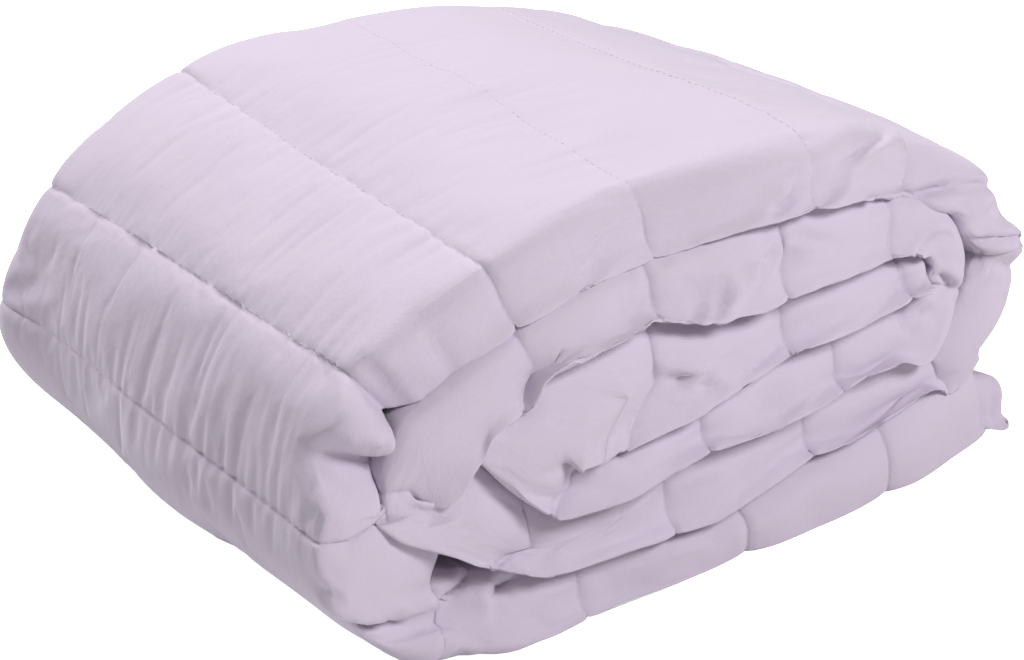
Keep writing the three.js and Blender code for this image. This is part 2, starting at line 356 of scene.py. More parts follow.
def stationsAt(rows):
    # everything about the strip at those places
    param, channel, nearestSeam = rows / channelCount, channelOf(rows), np.rint(rows).astype(int)
    middle, outward = middleAt(param), outwardAt(param)
    steps = np.linalg.norm(np.diff(middle, axis=0), axis=1)
    along = np.concatenate([[0], np.cumsum(steps)])
    ease = fade(rows - channel)
    half, outerHalf, swell = halfThickness(rows)
    flare = np.interp(rows, np.arange(channelCount) + 0.5, seams["flare"][:-1])
    innerRoomHere = np.minimum(roomBeside(rows, -1), innerRoom(param))
    outerRoomHere = roomBeside(rows, 1)
    outerHalf = np.minimum(outerHalf, outerRoomHere)
    innerHalf = np.minimum(half, innerRoomHere)
    outerFlare = np.clip(outerRoomHere - outerHalf, 0, flare) * (outerRoomHere < strip["nextRoom"])
    innerFlare = np.clip(innerRoomHere - half, 0, flare)
    outerFace = middle + outward * (outerHalf + outerFlare)[:, None]
    innerFace = middle - outward * (innerHalf + innerFlare)[:, None]
    halfWidth = strip["width"] / 2 + strip["crestLobe"] * swell
    return {
        "rows": rows,
        "channel": channel,
        "nearestSeam": nearestSeam,
        "along": along,
        "fromSeam": np.abs(along - np.interp(nearestSeam, rows, along)),
        "outward": outward,
        "outerHalf": outerHalf,
        "innerHalf": innerHalf,
        "outerFlare": outerFlare,
        "innerFlare": innerFlare,
        "outerShift": meetingShift(rows, 1, outerFace, outward[:, 1]),
        "innerShift": meetingShift(rows, -1, innerFace, -outward[:, 1]),
        "skew": between("skew", rows, ease),
        "lift": np.interp(rows, *backLifts.T),
        "openDepth": np.interp(rows, *openDepths.T),
        "open": fade(rows - strip["openFrom"]) * fade(strip["openTo"] - rows),
        "slideNear": between("slideNear", rows, ease),
        "slideBack": between("slideBack", rows, ease),
        "nearEdge": np.interp(rows, *edgeCuts.T) - between("near", rows, ease) - halfWidth,
        "backEdge": between("back", rows, ease) + halfWidth,
    }


def makeLoop(faceSteps):
    # one turn round the section: angle runs from -90 degrees on the inner face to 90 on the outer
    # one round a folded edge, across runs from near to back
    near = np.pi * (np.arange(fineness["nearCrest"]) / fineness["nearCrest"] - 0.5)
    back = np.pi * (0.5 - np.arange(fineness["backCrest"]) / fineness["backCrest"])
    outer = np.arange(faceSteps) / faceSteps
    inner = 1 - np.arange(fineness["hiddenFace"]) / fineness["hiddenFace"]
    quarter = np.pi / 2
    return {
        "angle": np.concatenate([near, 0 * outer + quarter, back, 0 * inner - quarter]),
        "across": np.concatenate([0 * near, outer, 0 * back + 1, inner]),
        "end": np.concatenate([0 * near - 1, 0 * outer, 0 * back + 1, 0 * inner]),
    }


def placeGrid(stations, loop):
    # positions of every point of every section, stations by loop by 3, in millimetres
    angle, across, end = (loop[name][None, :] for name in ("angle", "across", "end"))
    column = {name: value[:, None] for name, value in stations.items()}
    rows, nearEdge, backEdge = column["rows"], column["nearEdge"], column["backEdge"]
    outwardZ = column["outward"][..., 1]
    lowness = 0.5 - 0.5 * np.sign(angle) * outwardZ
    openness = np.where(angle > 0, column["open"], 0)
    depthHigh = strip["depthHidden"] + (column["openDepth"] - strip["depthHidden"]) * openness
    depth = depthHigh + (strip["depthLow"] - depthHigh) * lowness
    depthBack = np.minimum(depth, strip["depthBack"])
    power = strip["squareHigh"] + (strip["squareLow"] - strip["squareHigh"]) * lowness
    side = np.sign(angle) * np.abs(np.sin(angle)) ** power
    edge = np.where(end == 0, 1, 1 - np.abs(np.cos(angle)).clip(0, 1) ** power)
    fromFloorRow = np.abs(rows - strip["floorRow"])
    hang = strip["hang"] * fade((fromFloorRow - strip["floorReach"]) / strip["floorRamp"])
    recess = (1 - edge) * hang * (1 - np.exp(-strip["hangSharpness"] * (1 + side * outwardZ)))
    nearFace, backFace = nearEdge + depth, backEdge - depthBack
    y = nearFace + (backFace - nearFace) * across
    y = np.where(end == -1, nearEdge + depth * edge + recess, y)
    y = np.where(end == 1, backEdge - depthBack * edge - recess, y)
    fromEdge = np.minimum(y - nearEdge, backEdge - y)
    nearness = 1 - fade((fromEdge - strip["flareReach"]) / strip["flareFade"])
    half = np.where(side > 0, column["outerHalf"] + column["outerFlare"] * nearness,
                    column["innerHalf"] + column["innerFlare"] * nearness)
    backness = y / strip["width"] + 0.5
    offset = half * side + column["skew"] * (backness - 0.5) + column["lift"] * fade(backness)
    slide = column["slideNear"] * (1 - backness) + column["slideBack"] * backness
    pace = np.gradient(stations["along"], stations["rows"])[:, None]
    param = ((rows + slide / pace) / channelCount).ravel()
    middle, outward = middleAt(param).reshape(*y.shape, 2), outwardAt(param).reshape(*y.shape, 2)
    x = middle[..., 0] + outward[..., 0] * offset
    z = middle[..., 1] + outward[..., 1] * offset
    for name, share in (("outerShift", side.clip(0, 1)), ("innerShift", (-side).clip(0, 1))):
        nearShare = share * (1 - fade((fromEdge - meetingReach) / meetingReach)) * (y < 0)
        x = x + column[name][..., 0] * nearShare
        z = z + column[name][..., 1] * nearShare
    z = (z - strip["floorSink"]) * (1 - strip["backTaper"] * backness)
    return np.stack([x, y, z], axis=2)


def rowsBetween(first, last):
    # even steps, with a few closer ones beside every seam
    lengths = np.hypot(np.diff(seams["x"]), np.diff(seams["z"]))
    rows = []
    for k in range(first, last):
        beside = np.array(fineness["besideSeam"]) / lengths[k]
        even = np.linspace(beside[-1], 1 - beside[-1], fineness["steps"][k] - 3)
        rows.append(k + np.concatenate([[0], beside[:-1], even, 1 - beside[:-1][::-1]]))
    return np.concatenate(rows)


def makeStrip():
    # the open outer turn has a fine outer face, the other turns show only their folded edges
    stretches = [rowsBetween(0, outerStart), np.append(rowsBetween(outerStart, innerStart), innerStart),
                 np.append(rowsBetween(innerStart, channelCount)[1:], channelCount)]
    allStations = stationsAt(np.concatenate(stretches))
    made = []
    first = 0
    for rows, face in zip(stretches, ("hiddenFace", "outerFace", "hiddenFace")):
        stations = {name: value[first:first + len(rows)] for name, value in allStations.items()}
        made.append((stations, placeGrid(stations, makeLoop(fineness[face]))))
        first += len(rows)
    return made, allStations


parts, allStations = makeStrip()
print("strip wound into a roll")


def lengthOfRow(row):
    # millimetres along the strip to a place counted in seams
    return np.interp(row, allStations["rows"], allStations["along"])


def sectionMarks(grid):
    # where the outer face, the back folded edge and the inner face begin in every section, and
    # whether the outer face is open to view
    back = grid.shape[1] - fineness["backCrest"] - fineness["hiddenFace"]
    isOpen = back - fineness["nearCrest"] == fineness["outerFace"]
    return fineness["nearCrest"], back, back + fineness["backCrest"], isOpen


def aroundSection(grid):
    # millimetres round the section from the tip of the near folded edge, outwards above zero
    step = np.linalg.norm(np.diff(grid, axis=1), axis=2)
    around = np.concatenate([np.zeros((len(grid), 1)), np.cumsum(step, axis=1)], axis=1)
    tip = fineness["nearCrest"] // 2
    return around - around[:, tip:tip + 1]


# Creases of the cloth, drawn on it. First the depth and the width of the crease; the lip, how far
# the cloth on its left side stands up, or on its right one below zero, and how far that lip reaches;
# the step, how far the cloth on its right side lies lower, or on its left one below zero, and how
# far that lower part reaches. Then the path: places as row and millimetres round the section from
# the tip of the near folded edge.
creases = {
    "underFlap": ((4, 1.8, 3, 8, 3, 14),
                  [(5.6, 15), (5.46, 9), (5.34, 3.4), (5.18, 1.5), (5.06, 0.3)]),
    "stripEdge": ((3, 2, -1.5, 6, -3, 10), [(4.75, -17), (4.83, -11), (4.93, -5), (5, 0)]),
    "knob": ((1.6, 1.7, -1, 6, 0, 1), [(6.73, 1), (6.71, -5), (6.75, -8.5), (6.83, -8)]),
    "cornerDiagonal": ((2.5, 2, 1.5, 7, 2, 16),
                       [(10.8, 11), (10.5, 5), (10.32, 1), (10.26, -6), (10.1, -11)]),
    "topShort": ((3.6, 2, 3, 7, 0, 1), [(9.72, -11), (9.8, -8), (9.92, -4)]),
    "topRidge": ((0, 1.6, 1, 4, 2.6, 12), [(8.52, -8), (8.6, -4), (8.74, 1)]),
    "cornerLong": ((3.4, 2.2, -3.2, 10, 0, 1), [(10.62, -13), (11.11, -10.6), (11.4, -2), (11.64, 12)]),
    "cornerEnd": ((2, 2, -3, 9, 0, 1), [(11.8, -11), (11.9, -4), (11.99, 5), (12.02, 14)]),
    "sideFold": ((2.6, 1.8, 2.2, 6, 0, 1), [(21.82, -7), (21.95, -1), (22.02, 7)]),
    "sideDip": ((1.5, 2.0, -1.5, 7, 0, 1), [(12.1, -4), (12.2, 9)]),
    "rolledPucker": ((3.2, 2.2, 3.6, 7, 0, 1), [(19.68, -1), (19.58, -3.5), (19.49, -7), (19.42, -13)]),
    "puckerSide": ((2.4, 2.8, -1.5, 7, 0, 1), [(19.2, -13), (19.3, -10), (19.45, -3)]),
    "seamVLeft": ((2.2, 2, 2, 6, 0, 1), [(19.99, 8), (19.92, 2), (19.84, -1), (19.8, -7)]),
    "seamVRight": ((2.2, 2.2, -2, 7, 0, 1), [(20.03, 10), (20.2, 4), (20.42, 0)]),
    "crescent": ((0, 1.8, -1.6, 5, 2, 9), [(18.88, 15), (18.83, 6), (18.84, -2), (18.92, -9)]),
    "secondCorner": ((2.2, 1.8, 2, 6, 0, 1), [(21.25, -11), (21.4, -3.2), (21.55, 3)]),
    "smallFlap": ((2.4, 1.6, 2.4, 6, 0, 1), [(18.06, -3), (18.16, -5), (18.3, -7)]),
    "corePucker": ((3, 2.0, 3, 7, 0, 1), [(28.1, 3), (28.2, 0), (28.3, -4), (28.42, -9)]),
    "secondCrease": ((2.4, 2, -2, 7, 0, 1), [(15.36, -3), (15.2, -8), (15.04, -11)]),
    "mouthUpper": ((2.4, 1.2, 1.5, 4, 0, 1), [(16.92, 1), (16.8, -1.2), (16.72, -3.2)]),
    "mouthLower": ((2.8, 1.3, -1.6, 4, 0, 1), [(16.75, 6.5), (16.74, 1.6), (16.66, -2.9), (16.6, -7)]),
    "coreTurn": ((1, 1.5, 1.5, 4, -3, 12), [(24.8, -9), (25.03, -4), (25.07, 0), (25.09, 9)]),
    "pleatUpper": ((3, 1.5, 2.4, 5, 0, 1), [(22.3, -12), (22.22, -6), (22.19, 2)]),
    "pleatLower": ((2, 1.5, 1.6, 4, 0, 1), [(22.42, -12), (22.38, -5), (22.3, 3)]),
    "hollowFold": ((3, 2.2, -3, 7, -4, 16), [(4.5, -11), (4.58, -9), (4.62, -4)]),
}

# Rounded knobs and hollows: row, millimetres round the section, reach along and round, height
swellings = {
    "knob": (6.74, -4, 8, 10, 3),
    "leftFoot": (5.6, 125, 22, 60, 5),
    "leftBack": (5.95, 245, 22, 22, 4.5),
    "lobeUnder": (5.06, 14, 13, 12, 7),
    "bottomUnder": (4.6, 12, 16, 12, 4),
    "coreInside": (25.25, -12, 12, 12, 5),
    "lobe": (5.6, -2, 13, 13, 1.5),
}

# Corners pulled out: row, millimetres round the section, reach along and round, then x, y and z
tugs = {
    "rightTip": (11.95, 0, 10, 15, 15, -4, 1),
    "aboveTip": (11.48, 3, 13, 14, 9, -2, 0),
    "underTip": (12.3, 10, 20, 30, 8, 0, 0),
    "tailEnd": (0.5, 0, 16, 40, 5, 0, 0),
    "mouthLip": (17.2, -14, 12, 10, 1, -1, -6),
    "coreEnd": (31, 0, 8, 12, 2, -2, 0),
}

# Fine relief of the cloth. Gathers are the fine folds that run out from a seam.
relief = {
    "seamWidth": 0.9,
    "gatherHeight": 0.75,
    "gatherSpacing": 3.4,
    "gatherLength": 42,
    "gatherSharpness": 0.7,  # below 1 the folds are sharp
    "gatherFade": 20,  # how far from a seam they grow weak
    "gatherFar": 0.3,  # what is left of them further on
    "gatherPatch": 45,  # size of the patches that they come in
    "gatherCover": 0.55,  # how much of the cloth the patches cover
    "creaseEnd": 0.06,  # share cut off at a crease's ends, so that it doesn't fade to nothing
    "creaseTaper": 0.5,  # below 1 a crease stays deep until near its ends
    "edgeWander": 1.0,  # unevenness of the folded edges
    "edgeWanderLength": 24,
    "edgeWanderRound": 0.3,  # how much slower it changes round the edge than along it
    "edgeWanderReach": 16,
    "swell": 0.9,  # soft unevenness of the faces
    "swellLength": 34,
}
seamDepths = np.array([0.8, 0.8, 0.8, 0.8, 0.8, 0.8, 0.6, 0.7, 0.6, 0.15, 0.12, 0.15, 0.7]
                      + [0.65] * (channelCount - 12))
gatherOfRow = np.array([0.3, 0.4, 0.4, 0.4, 0.4, 0.45, 0.7, 1.0, 0.7, 0.45, 0.45, 0.6, 0.6, 0.5]
                       + [0.5] * (channelCount - 14))


def gridNormals(grid):
    across = np.gradient(grid, axis=0)
    around = np.roll(grid, -1, axis=1) - np.roll(grid, 1, axis=1)
    normal = np.cross(across, around)
    return normal / np.maximum(np.linalg.norm(normal, axis=2), tiny)[..., None]


def distanceToPath(u, s, path):
    # distance on the cloth from every point to a drawn line, its side, and the share run along it
    best = np.full(u.shape, unlimited)
    side = np.zeros(u.shape)
    run = np.zeros(u.shape)
    for k in range(len(path) - 1):
        (ua, sa), (ub, sb) = path[k], path[k + 1]
        du, ds = ub - ua, sb - sa
        length = math.hypot(du, ds)
        t = np.clip(((u - ua) * du + (s - sa) * ds) / length**2, 0, 1)
        distance = np.hypot(u - ua - t * du, s - sa - t * ds)
        nearer = distance < best
        best = np.where(nearer, distance, best)
        side = np.where(nearer, (du * (s - sa) - ds * (u - ua)) / length, side)
        run = np.where(nearer, (k + t) / (len(path) - 1), run)
    return best, side, run


def acrossCloth(grid, around):
    # millimetres across the strip from its middle, measured over the folded edges
    face, back, _, _ = sectionMarks(grid)
    middle = (face + back) // 2
    return around - around[:, middle:middle + 1] + grid[:, middle:middle + 1, 1]


def hill(along, around, row, s, reachAlong, reachAround):
    # 1 at one place of the cloth, fading to 0 round it
    return np.exp(-((along - lengthOfRow(row)) / reachAlong) ** 2 - ((around - s) / reachAround) ** 2)


def gatherFolds(along, across):
    # the fine folds, which come in patches
    foldPlace = np.stack([across, along, 0 * along], axis=2).reshape(-1, 3)
    spaced = foldPlace / (relief["gatherSpacing"], relief["gatherLength"], 1)
    folds = 1 - 2 * np.abs(softNoise(spaced, 2, seeds["wideFolds"])) ** relief["gatherSharpness"]
    folds += 0.5 * softNoise(spaced, 1, seeds["fineFolds"])
    patch = softNoise(foldPlace, relief["gatherPatch"], seeds["foldPatches"])
    return (folds * fade(relief["gatherCover"] + patch)).reshape(along.shape)


def addRelief(stations, grid):
    around = aroundSection(grid)
    across = acrossCloth(grid, around)
    stations["across"] = across
    along = np.repeat(stations["along"][:, None], around.shape[1], axis=1)
    clothPlace = np.stack([along, across, 0 * along], axis=2).reshape(-1, 3)

    # sewn seams, and the fine folds that gather at them
    nearestSeam, fromSeam = stations["nearestSeam"], stations["fromSeam"]
    groove = seams["sewn"][nearestSeam] * seamDepths[nearestSeam]
    groove *= np.exp(-(fromSeam / relief["seamWidth"]) ** 2)
    nearSeam = relief["gatherFar"] + (1 - relief["gatherFar"]) * np.exp(-fromSeam / relief["gatherFade"])
    strength = relief["gatherHeight"] * gatherOfRow[stations["channel"]] * nearSeam
    height = -groove[:, None] - strength[:, None] * gatherFolds(along, across)

    # soft unevenness, different on every turn
    uneven = softNoise(clothPlace, relief["swellLength"], seeds["faces"])
    height += relief["swell"] * uneven.reshape(around.shape)

    for (depth, width, lip, lipReach, step, stepReach), places in creases.values():
        path = [(lengthOfRow(row), s) for row, s in places]
        distance, side, run = distanceToPath(along, around, path)
        run = np.clip(run, relief["creaseEnd"], 1 - relief["creaseEnd"])
        taper = np.sin(np.pi * run) ** relief["creaseTaper"]
        height -= depth * taper * np.exp(-(distance / width) ** 2)
        height += abs(lip) * taper * (side * lip > 0) * np.exp(-(2 * distance / lipReach - 1) ** 2)
        lower = fade(0.5 - side * np.sign(step) / width) * (1 - fade(distance / stepReach))
        height -= abs(step) * taper * lower
    for *place, rise in swellings.values():
        height += rise * hill(along, around, *place)
    moved = grid + gridNormals(grid) * height[..., None]
    for *place, x, y, z in tugs.values():
        moved += hill(along, around, *place)[..., None] * (x, y, z)
    wander = softNoise(clothPlace * (1, relief["edgeWanderRound"], 1), relief["edgeWanderLength"],
                       seeds["edges"])
    atEdge = np.exp(-(around / relief["edgeWanderReach"]) ** 2)
    moved[..., 1] += relief["edgeWander"] * wander.reshape(around.shape) * atEdge
    return moved


parts = [(stations, addRelief(stations, grid)) for stations, grid in parts]
points = np.concatenate([grid.reshape(-1, 3) for _, grid in parts])
print("seams, folds and creases formed")

# Uneven lie of the whole roll, the same for every turn so that they stay on each other
warpFields = [softNoise(points, strip["warpLength"], seed) for seed in seeds["warp"]]
warp = np.stack(warpFields, axis=1) * strip["warp"]
points += warp * fade(points[:, 2:] / strip["warpHeight"])
points[:, 2] = np.maximum(points[:, 2], 0)
points[:, :2] -= np.array(strip["centre"])
points *= mm


def numberPoints():
    # the numbers of every part's points, stations by loop
    ends = np.cumsum([grid.shape[0] * grid.shape[1] for _, grid in parts])
    runs = np.split(np.arange(len(points)), ends[:-1])
    return [run.reshape(grid.shape[:2]) for run, (_, grid) in zip(runs, parts)]


numbers = numberPoints()


def sideFaces(number):
    # four-sided faces between the sections of one part
    after = np.roll(number, -1, axis=1)
    return np.stack([number[:-1], number[1:], after[1:], after[:-1]], axis=2).reshape(-1, 4).tolist()


def joinRings(earlier, later):
    # a ring of faces from the last section of one part to the first of the next, with a fan
    # wherever one coarse step meets several fine ones
    fan = fineness["outerFace"] // fineness["hiddenFace"]
    faces = []
    e, f = 0, 0
    for k in range(min(len(earlier), len(later))):
        onFace = fineness["nearCrest"] <= k < fineness["nearCrest"] + fineness["hiddenFace"]
        steps = fan if onFace else 1
        stepsEarlier = steps if len(earlier) > len(later) else 1
        stepsLater = steps if len(later) > len(earlier) else 1
        runEarlier = np.take(earlier, range(e, e + stepsEarlier + 1), mode="wrap").tolist()
        runLater = np.take(later, range(f, f + stepsLater + 1), mode="wrap").tolist()
        faces.append(runEarlier[:1] + runLater + runEarlier[:0:-1])
        e, f = e + stepsEarlier, f + stepsLater
    return faces


def lidFaces(ring):
    # closes the hem at one end of the strip
    ring = ring.tolist()
    return [[ring[k], ring[k + 1], ring[-k - 2], ring[-k - 1]] for k in range(len(ring) // 2 - 1)]


def duvetFaces():
    faces = [face for number in numbers for face in sideFaces(number)]
    for earlier, later in zip(numbers, numbers[1:]):
        faces += joinRings(earlier[-1], later[0])
    return faces + lidFaces(numbers[0][0]) + lidFaces(numbers[-1][-1][::-1])


def makeMesh(name, places, faces):
    made = bpy.data.meshes.new(name)
    made.from_pydata(places.tolist(), [], faces)
    made.update()
    made.shade_smooth()
    return made


def addObject(name, data):
    made = bpy.data.objects.new(name, data)
    bpy.context.scene.collection.objects.link(made)
    return made


mesh = makeMesh("quiltedDuvet", points, duvetFaces())

# Cloth simulation: the cotton has slack between its seams, so it puckers there and its filling
# rounds it out. It runs ten times larger, where the solver is steady.
settling = {
    "looseness": [0.3, 0.3, 0.3, 0.3, 0.35, 0.25, 0.2, 0.15, 0.1, 0.1, 0.1, 0.3, 0.3] + [0.6] * 18,
    "edgeShare": 0.25,  # of the looseness that the folded edges of the inner turns keep
    "slack": 0.06,  # how much longer the loose cloth is
    "pressure": 0.6,  # of the filling
    "bending": 0.01,
    "stretch": 20,
    "shear": 5,
    "mass": 0.3,
    "quality": 5,  # steps of the solver in every frame
    "frames": 18,
    "travel": 4,  # the most that a point may move, in millimetres
    "scale": 10,
    "firmSeam": 0.5,  # seams deeper than this stay put
}


def findHeld():
    # points that stay put: the seams, what lies hidden between the turns, and what touches the floor;
    # and how loose the cloth is at each point
    firm = seams["sewn"] * seamDepths > settling["firmSeam"]
    held, loose = [], []
    for stations, grid in parts:
        face, back, inner, isOpen = sectionMarks(grid)
        onSeam = (stations["rows"] == stations["nearestSeam"]) & firm[stations["nearestSeam"]]
        place = np.arange(grid.shape[1])
        hidden = place >= inner
        if not isOpen:
            hidden |= (place > face) & (place < back)
        held.append((onSeam[:, None] | hidden).ravel())
        share = 1 if isOpen else settling["edgeShare"]
        looseness = share * np.array(settling["looseness"])[stations["channel"]]
        loose.append(np.repeat(looseness, grid.shape[1]))
    return np.concatenate(held) | (points[:, 2] < floorContact * mm), np.concatenate(loose)


def settleCloth():
    held, loose = findHeld()
    model = mesh.copy()
    model.vertices.foreach_set("co", (points * settling["scale"]).ravel())
    piece = addObject("settling", model)
    holdGroup, looseGroup, firmGroup = (piece.vertex_groups.new(name=name)
                                        for name in ("held", "loose", "firm"))
    holdGroup.add(np.flatnonzero(held).tolist(), 1, "REPLACE")
    for looseness in np.unique(loose):
        alike = np.flatnonzero(loose == looseness).tolist()
        looseGroup.add(alike, float(looseness), "REPLACE")
        firmGroup.add(alike, float(1 - looseness), "REPLACE")
    modifier = piece.modifiers.new("cloth", "CLOTH")
    cloth = modifier.settings
    cloth.vertex_group_mass = "held"
    cloth.vertex_group_pressure = "loose"
    cloth.vertex_group_shrink = "firm"
    cloth.shrink_min, cloth.shrink_max = -settling["slack"], 0
    cloth.quality, cloth.mass = settling["quality"], settling["mass"]
    cloth.tension_stiffness = cloth.compression_stiffness = settling["stretch"]
    cloth.shear_stiffness, cloth.bending_stiffness = settling["shear"], settling["bending"]
    cloth.use_pressure, cloth.uniform_pressure_force = True, settling["pressure"]
    cloth.effector_weights.gravity = 0
    modifier.collision_settings.use_collision = False
    for frameNumber in range(1, settling["frames"] + 1):
        bpy.context.scene.frame_set(frameNumber)
    settled = piece.evaluated_get(bpy.context.evaluated_depsgraph_get())
    places = np.empty(len(points) * 3)
    settled.data.vertices.foreach_get("co", places)
    travel = places.reshape(-1, 3) / settling["scale"] - points
    length = np.linalg.norm(travel, axis=1)
    cap = settling["travel"] * mm
    travel *= (cap * np.tanh(length / cap) / np.maximum(length, tiny))[:, None]
    bpy.data.objects.remove(piece)
    bpy.context.scene.frame_set(1)
    return points + travel


points = settleCloth()
points[:, 2] = np.maximum(points[:, 2], 0)
mesh.vertices.foreach_set("co", points.ravel())
mesh.update()
print("cloth settled")
duvet = addObject("quiltedDuvet", mesh)
print("duvet mesh:", len(mesh.vertices), "points,", len(mesh.polygons), "faces")

creasingFar = 0.4  # share of the fine creasing that is left far from a seam


def clothPlaces():
    # every point's place on the unrolled cloth, in metres: along the strip, across it, and how much
    # the cloth gathers there
    places = []
    for stations, grid in parts:
        nearSeam = np.exp(-stations["fromSeam"] / relief["gatherFade"])
        gather = gatherOfRow[stations["channel"]] * (creasingFar + (1 - creasingFar) * nearSeam)
        place = np.broadcast_arrays(stations["along"][:, None] * mm, stations["across"] * mm,
                                    gather[:, None])
        places.append(np.stack(place, axis=2).reshape(-1, 3))
    return np.concatenate(places)


def setClothPlace(target, places):
    target.attributes.new("clothPlace", "FLOAT_VECTOR", "POINT").data.foreach_set("vector", places.ravel())


setClothPlace(mesh, clothPlaces())


def makeGroup(name, inputs, outputs):
    # a node group that takes the place on the cloth and those inputs, the sockets of its input node
    # and those of its output node
    group = bpy.data.node_groups.new(name, "ShaderNodeTree")
    group.interface.new_socket("Place", in_out="INPUT", socket_type="NodeSocketVector")
    for socket, kind, value in inputs:
        group.interface.new_socket(socket, in_out="INPUT", socket_type=kind).default_value = value
    for socket, kind in outputs:
        group.interface.new_socket(socket, in_out="OUTPUT", socket_type=kind)
    return group, group.nodes.new("NodeGroupInput").outputs, group.nodes.new("NodeGroupOutput").inputs


def mathNode(group, operation, first, second=None):
    node = group.nodes.new("ShaderNodeMath")
    node.operation = operation
    for socket, value in zip(node.inputs, (first, second)):
        if isinstance(value, (int, float)):
            socket.default_value = value
        elif value is not None:
            group.links.new(value, socket)
    return node.outputs[0]


def noiseNode(group, place, stretch, detail):
    # noise of 0 to 1; stretch: hills per metre along and across the strip
    mapping = group.nodes.new("ShaderNodeMapping")
    mapping.inputs["Scale"].default_value = (*stretch, 0)
    group.links.new(place, mapping.inputs["Vector"])
    noise = group.nodes.new("ShaderNodeTexNoise")
    noise.inputs["Scale"].default_value = 1
    noise.inputs["Detail"].default_value = detail
    group.links.new(mapping.outputs[0], noise.inputs["Vector"])
    return noise.outputs["Fac"]


# Fine texture of the cotton. Heights are in metres, hills are counted per metre along and across
# the strip.
texture = {
    "threadHeight": 0.00002,
    "slubHeight": 0.00012,
    "slubHills": (500, 900),
    "streakHeight": 0.0016,
    "streakHills": (11, 110),
    "patchHills": (22, 22),  # of the patches that the streaks come in
    "patchCover": 1.6,
    "softHeight": 0.0004,
    "softHills": (120, 120),
    "cloudHills": (28, 36),
    "cloudShare": 0.6,
    "fleckHills": (700, 1100),
    "fleckShare": 0.5,
    "roughness": 0.78,
    "roughnessRange": 0.12,
}


def makeWeave():
    # plain cotton weave: height of its threads in metres
    group, given, result = makeGroup("weave", [("Pitch", "NodeSocketFloat", 0.0004)],
                                     [("Height", "NodeSocketFloat")])
    split = group.nodes.new("ShaderNodeSeparateXYZ")
    group.links.new(given["Place"], split.inputs[0])
    waves = []
    for axis in (0, 1):
        turns = mathNode(group, "DIVIDE", split.outputs[axis], given["Pitch"])
        waves.append(mathNode(group, "SINE", mathNode(group, "MULTIPLY", turns, math.pi)))
    crossing = mathNode(group, "MULTIPLY", waves[0], waves[1])
    uneven = noiseNode(group, given["Place"], texture["slubHills"], 2)
    height = mathNode(group, "ADD", mathNode(group, "MULTIPLY", crossing, texture["threadHeight"]),
                      mathNode(group, "MULTIPLY", uneven, texture["slubHeight"]))
    group.links.new(height, result["Height"])
    return group


def makeCreasing():
    # fine creases along the strip, which stay in washed cotton
    group, given, result = makeGroup("fineCreasing", [("Strength", "NodeSocketFloat", 1.0)],
                                     [("Height", "NodeSocketFloat")])
    streak = noiseNode(group, given["Place"], texture["streakHills"], 1)
    ridge = mathNode(group, "ABSOLUTE", mathNode(group, "SUBTRACT", streak, 0.5))
    patch = noiseNode(group, given["Place"], texture["patchHills"], 1)
    patch = mathNode(group, "MULTIPLY", patch, texture["patchCover"])
    patch = mathNode(group, "SMOOTH_MIN", patch, 1.0)
    soft = noiseNode(group, given["Place"], texture["softHills"], 3)
    height = mathNode(group, "MULTIPLY", mathNode(group, "MULTIPLY", ridge, patch),
                      -texture["streakHeight"])
    height = mathNode(group, "MULTIPLY", height, given["Strength"])
    height = mathNode(group, "ADD", height, mathNode(group, "MULTIPLY", soft, texture["softHeight"]))
    group.links.new(height, result["Height"])
    return group


def makeTint():
    # colour of the cloth: cloudy in large patches, flecked by its threads
    group, given, result = makeGroup("clothTint", [("Light", "NodeSocketColor", (1, 1, 1, 1)),
                                                   ("Deep", "NodeSocketColor", (1, 1, 1, 1))],
                                     [("Color", "NodeSocketColor"), ("Roughness", "NodeSocketFloat")])
    cloud = noiseNode(group, given["Place"], texture["cloudHills"], 3)
    fleck = noiseNode(group, given["Place"], texture["fleckHills"], 2)
    share = mathNode(group, "ADD", mathNode(group, "MULTIPLY", cloud, texture["cloudShare"]),
                     mathNode(group, "MULTIPLY", fleck, texture["fleckShare"]))
    mix = group.nodes.new("ShaderNodeMix")
    mix.data_type = "RGBA"
    group.links.new(share, mix.inputs["Factor"])
    group.links.new(given["Light"], mix.inputs[6])
    group.links.new(given["Deep"], mix.inputs[7])
    group.links.new(mix.outputs[2], result["Color"])
    roughness = mathNode(group, "ADD", mathNode(group, "MULTIPLY", share, texture["roughnessRange"]),
                         texture["roughness"])
    group.links.new(roughness, result["Roughness"])
    return group


weave, creasing, tint = makeWeave(), makeCreasing(), makeTint()

clothLook = {
    "light": (0.63, 0.55, 0.665, 1),
    "deep": (0.585, 0.505, 0.62, 1),
    "pitch": 0.0004,  # metres between threads
    "bump": 0.9,
    "sheen": 0.25,
    "sheenRoughness": 0.45,
    "specular": 0.25,
}
threadLook = dict(clothLook, light=(0.66, 0.58, 0.69, 1), deep=(0.6, 0.52, 0.635, 1), pitch=0.0002)


def addGroup(tree, group, place):
    node = tree.nodes.new("ShaderNodeGroup")
    node.node_tree = group
    tree.links.new(place.outputs["Vector"], node.inputs["Place"])
    return node


def addBump(tree, height, strength):
    bump = tree.nodes.new("ShaderNodeBump")
    bump.inputs["Strength"].default_value = strength
    bump.inputs["Distance"].default_value = 1
    tree.links.new(height.outputs["Height"], bump.inputs["Height"])
    return bump


